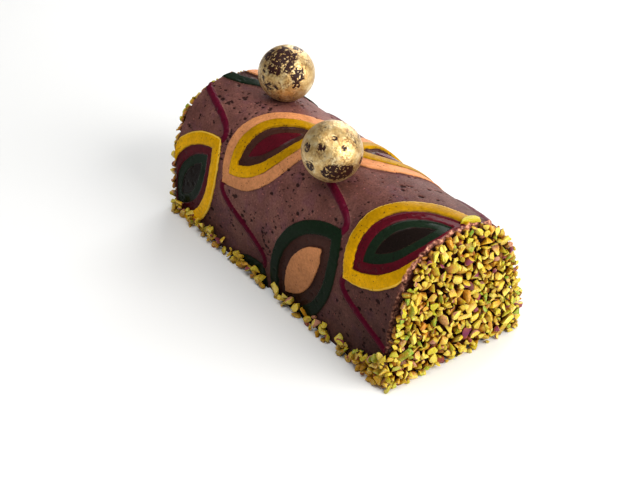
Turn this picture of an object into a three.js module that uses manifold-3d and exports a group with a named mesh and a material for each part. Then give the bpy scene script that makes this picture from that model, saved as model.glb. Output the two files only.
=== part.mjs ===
// A yule log cake: a moulded mousse log with inlaid leaves, chopped pistachio on both ends and
// along the foot, and two gilded chocolate balls on the ridge.
// Millimetres. X runs along the log, Z is up, the base stands on Z = 0, and the origin is the
// middle of the base. The cut face that was dressed last looks towards +X, and -Y is the side
// with the front ball.

import * as THREE from "three";
import { mergeVertices } from "three/addons/utils/BufferGeometryUtils.js";
import Module from "manifold-3d";

// Mousse log, from a gutter mould 80 wide
const LOG_LENGTH = 187;
const LOG_WIDTH = 80;
const LOG_HEIGHT = 72.5;
const ROUNDNESS = 2.61; // exponent of the section: 2 is an ellipse, more is squarer
const SECTION_FACETS = 32;
const ARC_STEPS = 2000;

// Inlaid leaves: pointed ovals between two arcs, in columns with a half drop round the skin
const LEAF_LENGTH = 78;
const LEAF_WIDTH = 44;
const LEAF_TILT = THREE.MathUtils.degToRad(58);
const LEAF_BAND = 7;
const LEAF_PITCH = 52;
const LEAF_COLUMNS = 6;
const LEAF_ROWS = 2; // in one way round the skin
const FIRST_COLUMN = -130;
const FIRST_ROW_SHARE = 0.14; // of the way round the skin
const LEAF_RISE = 0.8;
const LEAF_ROOT = 1.2;
const LEAF_ARC_POINTS = 10;

// Chopped pistachio
const NUT_SIZE = 5;
const NUT_SPREAD = 0.28; // of its size, either way
const NUT_CORNER_SHIFT = 0.2;
const COAT_BACKING = 2.2;
const COAT_REACH = 6.6; // how far the furthest nut stands out from the end of the log
const COAT_PITCH = 7;
const BARE_RIM_FRONT = 2.9; // where the cut mousse shows along the near side of the front end
const BARE_RIM_REAR = 0.8;
const FAR_RIM = 0.4;
const HEAP_COUNT = 9; // pieces fallen together at the near foot of the front end
const SKIRT_PITCH = 8;
const SKIRT_REACH = 4.6;
const SKIRT_LOW = 1.7;
const SKIRT_HIGH = 3.9;

// Chocolate balls
const BALL_RADIUS = 15;
const BALL_SINK = 0.7;
const BALL_DETAIL = 3;
const BALLS = [
  { name: "ball_rear", x: -53, y: 7 },
  { name: "ball_front", x: 21.5, y: -13 },
];

const CLEARANCE = 0.3; // between pieces that touch
const FAR = 400; // larger than the cake

const wasm = await Module();
wasm.setup();

// Solids

function toSolid(geometry) {
  const bare = geometry.clone();
  bare.deleteAttribute("normal");
  bare.deleteAttribute("uv");
  const merged = mergeVertices(bare, 1e-4);
  return new wasm.Manifold(
    new wasm.Mesh({
      numProp: 3,
      vertProperties: merged.attributes.position.array,
      triVerts: new Uint32Array(merged.index.array),
    }),
  );
}

function toGeometry(solid) {
  const { vertProperties, triVerts } = solid.getMesh();
  const geometry = new THREE.BufferGeometry();
  geometry.setAttribute("position", new THREE.BufferAttribute(vertProperties, 3));
  geometry.setIndex(new THREE.BufferAttribute(triVerts, 1));
  geometry.computeVertexNormals();
  return geometry;
}

function joined(solids) {
  return solids.reduce((whole, piece) => whole.add(piece));
}

// The largest body of a solid, without the scraps that touch nothing.
function withoutScraps(solid) {
  const bodies = solid.decompose();
  return bodies.reduce((best, body) => (body.volume() > best.volume() ? body : best));
}

function block(x0, x1, y0, y1, z0, z1) {
  const geometry = new THREE.BoxGeometry(x1 - x0, y1 - y0, z1 - z0);
  geometry.translate((x0 + x1) / 2, (y0 + y1) / 2, (z0 + z1) / 2);
  return toSolid(geometry);
}

// Section of the log, with y across and z up

// Point (y, z) at a turn from 0, the near foot, over the ridge to 1, the far foot.
function sectionPoint(turn) {
  const angle = Math.PI * (1 - turn);
  const power = 2 / ROUNDNESS;
  const across = Math.sign(Math.cos(angle)) * Math.abs(Math.cos(angle)) ** power;
  const up = Math.abs(Math.sin(angle)) ** power;
  return new THREE.Vector2((LOG_WIDTH / 2) * across, LOG_HEIGHT * up);
}

// Outward normal of the section at a point (y, z) on it.
function sectionNormal(y, z) {
  const power = ROUNDNESS - 1;
  return new THREE.Vector2(
    (Math.sign(y) * (Math.abs(2 * y) / LOG_WIDTH) ** power * 2) / LOG_WIDTH,
    (Math.max(z, 0) / LOG_HEIGHT) ** power / LOG_HEIGHT,
  ).normalize();
}

// The skin laid flat: how far along its arc each turn lies.
const arcPoints = Array.from({ length: ARC_STEPS + 1 }, (_, i) =>
  sectionPoint(i / ARC_STEPS),
);
const arcLengths = [0];
for (let i = 1; i <= ARC_STEPS; i++) {
  arcLengths.push(arcLengths[i - 1] + arcPoints[i].distanceTo(arcPoints[i - 1]));
}
const SKIN_ARC = arcLengths[ARC_STEPS];

// Point (y, z) of the section at a distance along the skin; past each foot it runs straight down.
function pointAlongSkin(distance) {
  if (distance <= 0) return new THREE.Vector2(-LOG_WIDTH / 2, distance);
  if (distance >= SKIN_ARC) return new THREE.Vector2(LOG_WIDTH / 2, SKIN_ARC - distance);
  let low = 0;
  let high = ARC_STEPS;
  while (high - low > 1) {
    const middle = (low + high) >> 1;
    if (arcLengths[middle] <= distance) low = middle;
    else high = middle;
  }
  const share = (distance - arcLengths[low]) / (arcLengths[high] - arcLengths[low]);
  return arcPoints[low].clone().lerp(arcPoints[high], share);
}

// Wraps a geometry that was drawn flat, x along the log, y along the skin and z outwards.
function wrapped(geometry) {
  const positions = geometry.getAttribute("position");
  for (let i = 0; i < positions.count; i++) {
    const foot = pointAlongSkin(positions.getY(i));
    const normal = sectionNormal(foot.x, foot.y);
    const height = positions.getZ(i);
    positions.setXYZ(
      i,
      positions.getX(i),
      foot.x + normal.x * height,
      foot.y + normal.y * height,
    );
  }
  return geometry;
}

// A bar of the log's section, between two places along X.
function sectionBar(x0, x1, inset) {
  const outline = [];
  for (let i = 0; i <= SECTION_FACETS; i++) {
    const foot = pointAlongSkin((SKIN_ARC * i) / SECTION_FACETS);
    const normal = sectionNormal(foot.x, foot.y);
    outline.push(
      new THREE.Vector2(foot.x - normal.x * inset, foot.y - normal.y * inset),
    );
  }
  const bar = new THREE.ExtrudeGeometry(new THREE.Shape(outline), {
    depth: x1 - x0,
    bevelEnabled: false,
  });
  // the outline's own axes become Y and Z, and the extrusion becomes X
  bar.applyMatrix4(
    new THREE.Matrix4().makeBasis(
      new THREE.Vector3(0, 1, 0),
      new THREE.Vector3(0, 0, 1),
      new THREE.Vector3(1, 0, 0),
    ),
  );
  bar.translate(x0, 0, 0);
  return toSolid(bar);
}

// Leaves

// Outline of a leaf, drawn in by an amount all round, about its own centre.
function leafOutline(drawnIn) {
  const half = LEAF_LENGTH / 2;
  const bulge = LEAF_WIDTH / 2;
  const radius = (half * half + bulge * bulge) / (2 * bulge);
  const centreOffset = radius - bulge;
  const reach = Math.acos(centreOffset / (radius - drawnIn));
  const points = [];
  for (const side of [1, -1]) {
    for (let i = 0; i < LEAF_ARC_POINTS; i++) {
      const angle = reach - (2 * reach * i) / LEAF_ARC_POINTS;
      points.push(
        new THREE.Vector2(
          side * (radius - drawnIn) * Math.sin(angle),
          side * ((radius - drawnIn) * Math.cos(angle) - centreOffset),
        ),
      );
    }
  }
  return points;
}

function leafBand(leaf) {
  const place = (point) => point.rotateAround(new THREE.Vector2(), LEAF_TILT).add(leaf);
  const shape = new THREE.Shape(leafOutline(0).map(place));
  shape.holes.push(new THREE.Path(leafOutline(LEAF_BAND).map(place)));
  const band = new THREE.ExtrudeGeometry(shape, {
    depth: LEAF_RISE + LEAF_ROOT,
    bevelEnabled: false,
  });
  band.translate(0, 0, -LEAF_ROOT);
  return toSolid(wrapped(band));
}

// Centres of the leaves on the flat skin, with some past its edges, which the trim cuts.
function leafCentres() {
  const rowPitch = SKIN_ARC / LEAF_ROWS;
  const centres = [];
  for (let column = 0; column < LEAF_COLUMNS; column++) {
    const drop = column % 2 ? 0 : 0.5;
    for (let row = -1; row <= LEAF_ROWS; row++) {
      centres.push(
        new THREE.Vector2(
          FIRST_COLUMN + LEAF_PITCH * column,
          SKIN_ARC * FIRST_ROW_SHARE + rowPitch * (row + drop),
        ),
      );
    }
  }
  return centres;
}

// Nuts

function randomSource(seed) {
  let state = seed >>> 0;
  return () => {
    state = (state + 0x6d2b79f5) >>> 0;
    let mixed = Math.imul(state ^ (state >>> 15), 1 | state);
    mixed = (mixed + Math.imul(mixed ^ (mixed >>> 7), 61 | mixed)) ^ mixed;
    return ((mixed ^ (mixed >>> 14)) >>> 0) / 4294967296;
  };
}

// One chopped piece: a box or an octahedron with its corners shifted, turned any way.
function nutPiece(random, centre, limits) {
  const spread = (amount) => amount * (2 * random() - 1);
  const size = NUT_SIZE * (1 + spread(NUT_SPREAD));
  const form =
    random() < 0.6
      ? new THREE.BoxGeometry(0.8, 0.8, 0.8)
      : new THREE.OctahedronGeometry(0.68, 0);
  form.deleteAttribute("normal");
  form.deleteAttribute("uv");
  const nut = mergeVertices(form, 1e-4);
  const corners = nut.getAttribute("position");
  for (let i = 0; i < corners.count; i++) {
    corners.setXYZ(
      i,
      corners.getX(i) + spread(NUT_CORNER_SHIFT),
      corners.getY(i) + spread(NUT_CORNER_SHIFT),
      corners.getZ(i) + spread(NUT_CORNER_SHIFT),
    );
  }
  nut.scale(size, size * (0.8 + 0.2 * random()), size * (0.6 + 0.3 * random()));
  nut.rotateX(Math.PI * spread(1));
  nut.rotateY(Math.PI * spread(1));
  nut.rotateZ(Math.PI * spread(1));
  nut.translate(centre.x, centre.y, centre.z);
  nut.computeBoundingBox();
  // a piece that would stand out too far is pushed back in
  const { min, max } = nut.boundingBox;
  const back = (low, high, reach) => Math.min(0, reach - high) + Math.max(0, -reach - low);
  nut.translate(back(min.x, max.x, limits.x), back(min.y, max.y, limits.y), 0);
  return toSolid(nut);
}

// Signed distance in from the section's outline, by its nearest point.
function depthInside(y, z) {
  let nearest = Infinity;
  for (let i = 0; i <= ARC_STEPS; i += 10) {
    nearest = Math.min(nearest, Math.hypot(arcPoints[i].x - y, arcPoints[i].y - z));
  }
  const level =
    (Math.abs(2 * y) / LOG_WIDTH) ** ROUNDNESS + (Math.max(z, 0) / LOG_HEIGHT) ** ROUNDNESS;
  return level <= 1 ? nearest : -nearest;
}

// The coat on one end, 1 or -1: a thin backing of crumb with the pieces that show fused to it.
function nutCoat(end, bareRim, heapCount, seed) {
  const random = randomSource(seed);
  const spread = (amount) => amount * (2 * random() - 1);
  const inner = LOG_LENGTH / 2 + CLEARANCE;
  const face = inner + COAT_BACKING;
  const limits = { x: LOG_LENGTH / 2 + COAT_REACH, y: LOG_WIDTH / 2 + SKIRT_REACH };
  const between = (a, b) => [Math.min(end * a, end * b), Math.max(end * a, end * b)];
  const pieces = [sectionBar(...between(inner, face), BARE_RIM_FRONT)];

  const rowPitch = COAT_PITCH * Math.sqrt(0.75);
  const rows = Math.ceil(LOG_HEIGHT / rowPitch);
  const columns = Math.ceil(LOG_WIDTH / COAT_PITCH) + 1;
  for (let row = 0; row < rows; row++) {
    for (let column = 0; column <= columns; column++) {
      const centre = new THREE.Vector3(
        end * (face + 0.6 + spread(0.8)),
        (column + (row % 2) / 2 - columns / 2) * COAT_PITCH + spread(1.1),
        SKIRT_LOW + row * rowPitch + spread(0.9),
      );
      const toFar = THREE.MathUtils.smoothstep(centre.y, -5, 25);
      const rim = THREE.MathUtils.lerp(bareRim, FAR_RIM, toFar);
      if (depthInside(centre.y, centre.z) >= rim) {
        pieces.push(nutPiece(random, centre, limits));
      }
    }
  }
  for (let i = 0; i < heapCount; i++) {
    const centre = new THREE.Vector3(
      end * (face + 0.4 + spread(1.6)),
      -LOG_WIDTH / 2 - 0.6 + spread(2.6),
      SKIRT_HIGH + spread(2.2),
    );
    pieces.push(nutPiece(random, centre, limits));
  }
  const outside = block(...between(inner, FAR), -FAR, FAR, 0, FAR);
  return withoutScraps(joined(pieces).intersect(outside));
}

// Pieces pressed against the foot of the log on one side, 1 or -1, some of them two deep.
function nutSkirt(side, seed) {
  const random = randomSource(seed);
  const spread = (amount) => amount * (2 * random() - 1);
  const limits = { x: LOG_LENGTH / 2, y: LOG_WIDTH / 2 + SKIRT_REACH };
  const pieces = [];
  for (let x = -LOG_LENGTH / 2 + 3; x < LOG_LENGTH / 2 - 2; x += SKIRT_PITCH) {
    const centre = new THREE.Vector3(
      x + spread(1.8),
      side * (LOG_WIDTH / 2 + 1.1 + spread(0.5)),
      random() < 0.3 ? SKIRT_HIGH : SKIRT_LOW,
    );
    pieces.push(nutPiece(random, centre, limits));
    if (random() < 0.3) {
      const outer = centre.clone().add(new THREE.Vector3(spread(1.5), side * 1.8, -0.3));
      pieces.push(nutPiece(random, outer, limits));
    }
  }
  return pieces;
}

// Balls

// Centre of a ball that sits a little way into the skin above (x, y).
function ballCentre({ x, y }) {
  const z = LOG_HEIGHT * (1 - (Math.abs(2 * y) / LOG_WIDTH) ** ROUNDNESS) ** (1 / ROUNDNESS);
  const normal = sectionNormal(y, z).multiplyScalar(BALL_RADIUS - BALL_SINK);
  return new THREE.Vector3(x, y + normal.x, z + normal.y);
}

function ballGeometry(radius) {
  return new THREE.IcosahedronGeometry(radius, BALL_DETAIL);
}

// The log with its leaves and skirts, trimmed at the ends and the base, and dimpled for the balls.
function mousseLog() {
  const half = LOG_LENGTH / 2;
  const body = joined([
    sectionBar(-half, half, 0),
    ...leafCentres().map(leafBand),
    ...nutSkirt(-1, 11),
    ...nutSkirt(1, 12),
  ]);
  const trimmed = body.intersect(block(-half, half, -FAR, FAR, 0, FAR));
  const dimpled = BALLS.reduce((log, ball) => {
    const { x, y, z } = ballCentre(ball);
    const dimple = ballGeometry(BALL_RADIUS + CLEARANCE).translate(x, y, z);
    return log.subtract(toSolid(dimple));
  }, trimmed);
  return withoutScraps(dimpled);
}

// Assembly

function pieceOf(name, geometry, color, roughness, metalness = 0) {
  const material = new THREE.MeshStandardMaterial({ color, roughness, metalness });
  const mesh = new THREE.Mesh(geometry, material);
  mesh.name = name;
  return mesh;
}

const cake = new THREE.Group();
cake.add(pieceOf("log", toGeometry(mousseLog()), 0x5a3e3e, 0.45));
cake.add(pieceOf("nut_coat_front", toGeometry(nutCoat(1, BARE_RIM_FRONT, HEAP_COUNT, 21)), 0xc6bc45, 0.6));
cake.add(pieceOf("nut_coat_rear", toGeometry(nutCoat(-1, BARE_RIM_REAR, 0, 22)), 0xc6bc45, 0.6));
for (const ball of BALLS) {
  const mesh = pieceOf(ball.name, ballGeometry(BALL_RADIUS), 0xd8c078, 0.3, 0.8);
  mesh.position.copy(ballCentre(ball));
  cake.add(mesh);
}

export default cake;
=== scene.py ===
# %% [markdown]
# # A yule log cake
#
# This lesson dresses a yule log cake: a mousse log with a satin skin and inlaid leaves, chopped
# pistachio on its ends and along its foot, and two chocolate balls rubbed with gold leaf.
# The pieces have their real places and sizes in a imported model, so we load that first. Its origin
# is the middle of the cake's base, X runs along the log and Z is up.

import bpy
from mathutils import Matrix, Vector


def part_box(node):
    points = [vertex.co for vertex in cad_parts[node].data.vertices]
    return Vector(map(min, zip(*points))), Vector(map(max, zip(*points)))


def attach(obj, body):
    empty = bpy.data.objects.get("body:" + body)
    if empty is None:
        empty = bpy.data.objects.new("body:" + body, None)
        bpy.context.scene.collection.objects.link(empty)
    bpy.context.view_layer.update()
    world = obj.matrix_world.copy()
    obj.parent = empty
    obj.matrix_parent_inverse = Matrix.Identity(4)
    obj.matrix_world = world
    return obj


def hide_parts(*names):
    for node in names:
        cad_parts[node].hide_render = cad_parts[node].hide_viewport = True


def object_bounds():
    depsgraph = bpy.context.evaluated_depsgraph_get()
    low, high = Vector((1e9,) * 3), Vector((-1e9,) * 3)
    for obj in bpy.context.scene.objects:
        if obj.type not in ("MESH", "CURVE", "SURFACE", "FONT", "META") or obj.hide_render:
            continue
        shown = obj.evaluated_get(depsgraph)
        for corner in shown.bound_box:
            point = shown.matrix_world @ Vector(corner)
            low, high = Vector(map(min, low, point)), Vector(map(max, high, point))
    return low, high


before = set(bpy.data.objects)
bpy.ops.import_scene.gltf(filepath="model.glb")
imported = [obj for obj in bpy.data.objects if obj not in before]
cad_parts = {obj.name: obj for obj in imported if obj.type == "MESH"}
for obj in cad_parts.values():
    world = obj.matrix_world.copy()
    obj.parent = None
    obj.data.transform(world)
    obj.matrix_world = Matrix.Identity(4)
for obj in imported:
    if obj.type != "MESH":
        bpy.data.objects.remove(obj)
model_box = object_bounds()
print("nodes:", sorted(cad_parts))
print("model box in metres:", [[round(v, 4) for v in corner] for corner in model_box])

# %% [markdown]
# Blender counts in metres. We work in millimetres, because a band of 7 is easier to read than
# one of 0.007, and change to metres where a mesh is made.

# %% Modules and units
import itertools
import math

import bmesh
import bpy
import numpy as np
from mathutils import Euler, Matrix, Vector

MM = 0.001
scene = bpy.context.scene

# %% [markdown]
# ## Camera
#
# The cake is seen from its front corner, looking down about 35 degrees, through a lens of 74 mm.
# A camera's matrix holds three directions: right, up and back. We work them out from two angles,
# a compass heading and a height.

# %% The camera
HEADING = math.radians(53.85)
LOOK_DOWN = math.radians(34.95)
DISTANCE = 697.1
AIM_RIGHT = -6.95  # how far right of the origin, as seen from the camera, it looks
AIM_UP = 11.59
LENS = 74.34
SENSOR = 36.0

right = Vector((math.cos(HEADING), math.sin(HEADING), 0.0))
level_back = Vector((math.sin(HEADING), -math.cos(HEADING), 0.0))
back = level_back * math.cos(LOOK_DOWN) + Vector((0, 0, math.sin(LOOK_DOWN)))
up = back.cross(right)

camera_data = bpy.data.cameras.new("camera")
camera_data.lens = LENS
camera_data.sensor_width = SENSOR
camera_data.clip_start = 0.01
camera = bpy.data.objects.new("camera", camera_data)
scene.collection.objects.link(camera)
camera_place = (right * AIM_RIGHT + up * AIM_UP + back * DISTANCE) * MM
directions = Matrix((right, up, back)).transposed().to_4x4()
camera.matrix_world = Matrix.Translation(camera_place) @ directions
scene.camera = camera
print("camera at", [round(v, 3) for v in camera_place])

# %% [markdown]
# ## Light
#
# Food is mostly lit by large soft sources. The main one stands to the right and brightens the
# nuts, one behind draws a pale sheen along the ridge, and a third hangs overhead and shows the
# colours of the top and the near slope. A dim pale world fills the shadows that are left.

# %% Lights and world


def area_light(name, place, target, size, power, tint=(1.0, 1.0, 1.0)):
    """A square light that faces its target. Places are in metres and power in watts."""
    data = bpy.data.lights.new(name, "AREA")
    data.size = size
    data.energy = power
    data.color = tint
    light = bpy.data.objects.new(name, data)
    light.location = place
    light.rotation_euler = (Vector(target) - Vector(place)).to_track_quat("-Z", "Y").to_euler()
    scene.collection.objects.link(light)


area_light("key_right", (1.0, 0.4, 0.62), (0, 0, 0.04), 0.9, 23.0, (1.0, 0.98, 0.95))
area_light("sheen_behind", (-0.6, 0.95, 0.5), (0, 0, 0.05), 0.9, 11.5)
area_light("top_soft", (0.1, -0.3, 1.2), (0, 0, 0.04), 0.7, 7.5)

world = bpy.data.worlds.new("studio")
world.use_nodes = True
background = world.node_tree.nodes["Background"].inputs
background["Color"].default_value = (0.96, 0.98, 1.0, 1)
background["Strength"].default_value = 0.27
scene.world = world
scene.view_settings.view_transform = "Standard"

# %% [markdown]
# ## Helpers for materials
#
# A material is a tree of nodes. Written out in full, each node takes four or five lines, so a
# small class keeps them short: its methods add nodes and give back an output, and an input may
# be a number, a colour or another output. Colours are as seen on screen, 0 to 255 a channel.

# %% Material helper


def linear(colour):
    """A colour as seen on screen, as the linear colour that Blender wants."""
    shares = [channel / 255 for channel in colour]
    return [s / 12.92 if s <= 0.04045 else ((s + 0.055) / 1.055) ** 2.4 for s in shares] + [1.0]


class Finish:
    """A material that is built up node by node, ending in one Principled shader."""

    def __init__(self, name):
        self.material = bpy.data.materials.new(name)
        self.material.use_nodes = True
        self.tree = self.material.node_tree
        self.place = self.node("TexCoord", "Object", {})

    def feed(self, sockets, inputs):
        """Links each named or numbered socket to an output, or sets its number or colour."""
        for name, value in inputs.items():
            if isinstance(value, bpy.types.NodeSocket):
                self.tree.links.new(value, sockets[name])
            else:
                is_colour = sockets[name].type == "RGBA"
                sockets[name].default_value = linear(value) if is_colour else value

    def node(self, kind, output, inputs, **settings):
        """Adds a node with these settings and inputs, and gives back one of its outputs."""
        node = self.tree.nodes.new("ShaderNode" + kind)
        for name, value in settings.items():
            setattr(node, name, value)
        self.feed(node.inputs, inputs)
        return node.outputs[output]

    def surface(self, inputs):
        """Sets inputs of the Principled shader, from their names."""
        self.feed(self.tree.nodes["Principled BSDF"].inputs, inputs)

    def stored(self, name):
        """A number that each point of the mesh carries."""
        return self.node("Attribute", "Fac", {}, attribute_name=name)

    def noise(self, size, detail=3.0):
        """Soft noise around 0.5, with lumps of about that many millimetres."""
        inputs = {"Vector": self.place, "Scale": 1 / (size * MM), "Detail": detail}
        return self.node("TexNoise", "Fac", inputs)

    def math(self, operation, *values):
        return self.node("Math", "Value", dict(enumerate(values)), operation=operation)

    def times(self, first, second):
        return self.math("MULTIPLY", first, second)

    def span(self, value, low, high, to_low=0.0, to_high=1.0):
        """Stretches low..high to to_low..to_high, and clamps what lies outside."""
        names = ("Value", "From Min", "From Max", "To Min", "To Max")
        inputs = dict(zip(names, (value, low, high, to_low, to_high)))
        return self.node("MapRange", "Result", inputs)

    def by_axis(self, axis, *spans):
        """A span over a point's place along the cake's X, Y or Z, in metres."""
        return self.span(self.node("SeparateXYZ", axis, {"Vector": self.place}), *spans)

    def clouds(self, size, low, high, to_low=0.0, to_high=1.0, detail=3.0):
        """Noise of that size, of which low..high is stretched to to_low..to_high."""
        return self.span(self.noise(size, detail), low, high, to_low, to_high)

    def dots(self, spacing, reach, patch, edge):
        """Small dots in some patches, about spacing millimetres apart."""
        inputs = {"Vector": self.place, "Scale": 1 / (spacing * MM)}
        dot = self.span(self.node("TexVoronoi", "Distance", inputs), 0.2, reach)
        return self.times(dot, self.clouds(patch, 0.5, edge, detail=0))

    def mix(self, share, first, second, blend="MIX"):
        """Mixes two colours, which are the sockets 6 and 7 of a Mix node."""
        inputs = {0: share, 6: first, 7: second}
        return self.node("Mix", 2, inputs, data_type="RGBA", blend_type=blend)

    def blotched(self, colour, blotch, size, low, high, share, detail=3.0):
        """A colour with soft blotches of another."""
        return self.mix(self.clouds(size, low, high, 0, share, detail), colour, blotch)

    def ramp(self, value, stops, sudden=False):
        """A ramp from (position, colour) stops, where a plain number stands for a grey."""
        output = self.node("ValToRGB", "Color", {"Fac": value})
        output.node.color_ramp.interpolation = "CONSTANT" if sudden else "LINEAR"
        elements = output.node.color_ramp.elements
        while len(elements) < len(stops):
            elements.new(1.0)
        for element, (position, colour) in zip(elements, stops):
            element.position = position
            element.color = linear(colour) if isinstance(colour, tuple) else [colour] * 3 + [1]
        return output

    def bump(self, height, depth, under=None):
        """A surface direction bent by a height from 0 to 1, which stands for depth millimetres."""
        inputs = {"Height": height, "Distance": depth * MM}
        if under:
            inputs["Normal"] = under
        return self.node("Bump", "Normal", inputs)


# %% [markdown]
# ## Floor
#
# The floor is a plain pale sheet of paper, large enough to be seen from any side. It isn't part
# of the cake.

# %% The floor
paper = Finish("pale_paper")
pale = paper.mix(paper.noise(300), (224, 224, 223), (228, 228, 227))
paper.surface({"Base Color": pale, "Roughness": 0.8})
bpy.ops.mesh.primitive_plane_add(size=12)
floor = bpy.context.active_object
floor.name = "floor"
floor.data.materials.append(paper.material)

# %% [markdown]
# ## Helpers for shapes
#
# Real mousse is never quite even. One kind of noise is enough for all of it: a random value on
# each corner of a lattice, blended smoothly in between. It comes from a seed, so it is the same
# on every run. `make_piece` turns arrays of points and faces into a Blender object and stores
# extra numbers on the points, for the materials to read.

# %% Noise and mesh helpers


def lattice_value(corner, seed):
    """A number from -1 to 1 for each corner, always the same for one seed."""
    x, y, z = corner.T
    mixed = (x * 73856093) ^ (y * 19349663) ^ (z * 83492791) ^ (seed * 2654435)
    mixed = ((mixed ^ (mixed >> 13)) * 1274126177) & 0x7FFFFFFF
    mixed = ((mixed ^ (mixed >> 16)) * 668265263) & 0x7FFFFFFF
    return (mixed & 0xFFFF) / 32767.5 - 1


def smooth_noise(points, size, seed):
    """Noise from -1 to 1 at each point, with lumps of that size."""
    scaled = points / size
    low = np.floor(scaled).astype(np.int64)
    share = scaled - low
    share = share * share * (3 - 2 * share)
    total = np.zeros(len(points))
    for corner in itertools.product((0, 1), repeat=3):
        weight = np.prod(np.where(corner, share, 1 - share), axis=1)
        total += weight * lattice_value(low + corner, seed)
    return total


def layered_noise(points, size, seed):
    """Three layers of noise, each twice as fine and half as strong as the last."""
    total = np.zeros(len(points))
    for layer in range(3):
        total += smooth_noise(points, size / 2**layer, seed + layer) / 2**layer
    return total


def smooth_step(value, low, high):
    """0 up to low, 1 from high on, and a smooth rise between them."""
    share = np.clip((value - low) / (high - low), 0, 1)
    return share * share * (3 - 2 * share)


def make_piece(name, points, faces, finishes, node, marks, finish_of=None):
    """A smooth piece from points in millimetres, which carry the numbers in marks."""
    mesh = bpy.data.meshes.new(name)
    mesh.from_pydata(points * MM, [], faces)
    for finish in finishes:
        mesh.materials.append(finish.material)
    if finish_of is not None:
        mesh.polygons.foreach_set("material_index", finish_of)
    mesh.polygons.foreach_set("use_smooth", [len(face) < 5 for face in faces])
    for mark, numbers in marks.items():
        layer = mesh.attributes.new(mark, "FLOAT", "POINT")
        layer.data.foreach_set("value", numbers.astype(np.float32))
    mesh.update()
    piece = bpy.data.objects.new(name, mesh)
    scene.collection.objects.link(piece)
    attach(piece, "root")
    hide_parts(node)
    print(f"{name}: {len(points)} points, {len(faces)} faces")


# %% [markdown]
# ## The log's section
#
# The log comes from a gutter mould, so every slice has the same outline: flat below, with steep
# sides and a full round top. A superellipse draws it with one formula. We also need lengths
# along it, as a tape measure laid over the log would read them, because the leaves are drawn as
# if the skin lay flat on a table.

# %% The section and the tape round it
LOG_LENGTH = 187.0
LOG_WIDTH = 80.0
LOG_HEIGHT = 72.5
ROUNDNESS = 2.61
END, SIDE = LOG_LENGTH / 2, LOG_WIDTH / 2  # from the middle to an end and to a side

turn = np.linspace(np.pi, 0, 4001)
outline_y = SIDE * np.sign(np.cos(turn)) * np.abs(np.cos(turn)) ** (2 / ROUNDNESS)
outline_z = LOG_HEIGHT * np.abs(np.sin(turn)) ** (2 / ROUNDNESS)
outline_z[[0, -1]] = 0
steps = np.hypot(np.diff(outline_y), np.diff(outline_z))
outline_tape = np.concatenate([[0], np.cumsum(steps)])
SKIN_ARC = outline_tape[-1]


def section_out(y, z):
    """The direction straight out of the skin, at points on the section."""
    out_y = np.sign(y) * (np.abs(2 * y) / LOG_WIDTH) ** (ROUNDNESS - 1) * 2 / LOG_WIDTH
    out_z = (np.maximum(z, 0) / LOG_HEIGHT) ** (ROUNDNESS - 1) / LOG_HEIGHT
    length = np.maximum(np.hypot(out_y, out_z), 1e-9)
    return out_y / length, out_z / length


def at_tape(tape):
    """Where a tape reading lies on the section, and the direction out of the skin there."""
    y = np.interp(tape, outline_tape, outline_y)
    z = np.interp(tape, outline_tape, outline_z)
    return y, z, *section_out(y, z)


def on_skin(x, tape, height):
    """Points at x along the log, at a tape reading round it, and a height above the skin."""
    y, z, out_y, out_z = at_tape(tape)
    return np.stack([x + 0 * y, y + out_y * height, z + out_z * height], axis=-1)


print("length", LOG_LENGTH, "mm, tape round the skin", round(SKIN_ARC, 1), "mm")

# %% [markdown]
# ## Leaves and stems, laid flat
#
# The skin carries inlaid leaves, each a set of nested bands, with thin stems between them. A leaf
# is where two circles overlap, so the distance in from its edge is easy to work out. One list of
# bands gives each style its colours, levels and gloss. The same distance shapes the mesh and
# paints it, so colour and relief always agree.

# %% Leaf styles and places
LEAF_LENGTH = 78.0
LEAF_WIDTH = 44.0
LEAF_TILT = math.radians(58)
LEAF_PITCH = 52.0
LEAF_COLUMNS = 6
LEAF_ROWS = range(-1, 3)
FIRST_COLUMN = -130.0
FIRST_ROW_SHARE = 0.14
STEM_WIDTH = 4.0
STEM_RISE = 1.2
STEM_PULL = 14.0  # how strongly a stem runs on in the leaf's direction
FAR_OFF = 1e3

MUSTARD = (198, 145, 3)
COPPER = (196, 130, 84)
BOTTLE_GREEN = (20, 34, 20)
BURGUNDY = (80, 8, 22)
COCOA = (64, 36, 29)
UMBER = (22, 13, 9)
# painted light and shade: how strong a colour is at the foot, on the slope and on the ridge
PLAIN_PAINTED_LIGHT = (0.52, 1.0, 1.0)
PAINTED_LIGHT = {MUSTARD: (1.38, 1.2, 0.68), COPPER: (0.52, 1.1, 1.1)}
# each band: start in mm from the leaf's edge, colour, level in mm and roughness
LEAF_STYLES = [
    [(0, MUSTARD, 1.1, 0.36), (7, BURGUNDY, 0.0, 0.2), (12, BOTTLE_GREEN, -0.7, 0.12),
     (17, UMBER, -1.1, 0.16)],
    [(0, COPPER, 0.8, 0.42), (6.5, MUSTARD, 1.2, 0.36), (12.5, COCOA, -0.5, 0.2),
     (17, BURGUNDY, 0.1, 0.16)],
    [(0, BOTTLE_GREEN, 0.9, 0.28), (7, COCOA, -0.6, 0.24), (13, COPPER, 0.8, 0.42)],
]

HEADING_ALONG = np.array([math.cos(LEAF_TILT), math.sin(LEAF_TILT)])


def leaf_places():
    """(x, tape, style) of each leaf, column by column."""
    for column in range(LEAF_COLUMNS):
        drop = 0 if column % 2 else 0.5
        for row in LEAF_ROWS:
            x = FIRST_COLUMN + LEAF_PITCH * column
            tape = SKIN_ARC * (FIRST_ROW_SHARE + 0.5 * (row + drop))
            yield x, tape, (column - 1 + 2 * row) % len(LEAF_STYLES)


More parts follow.
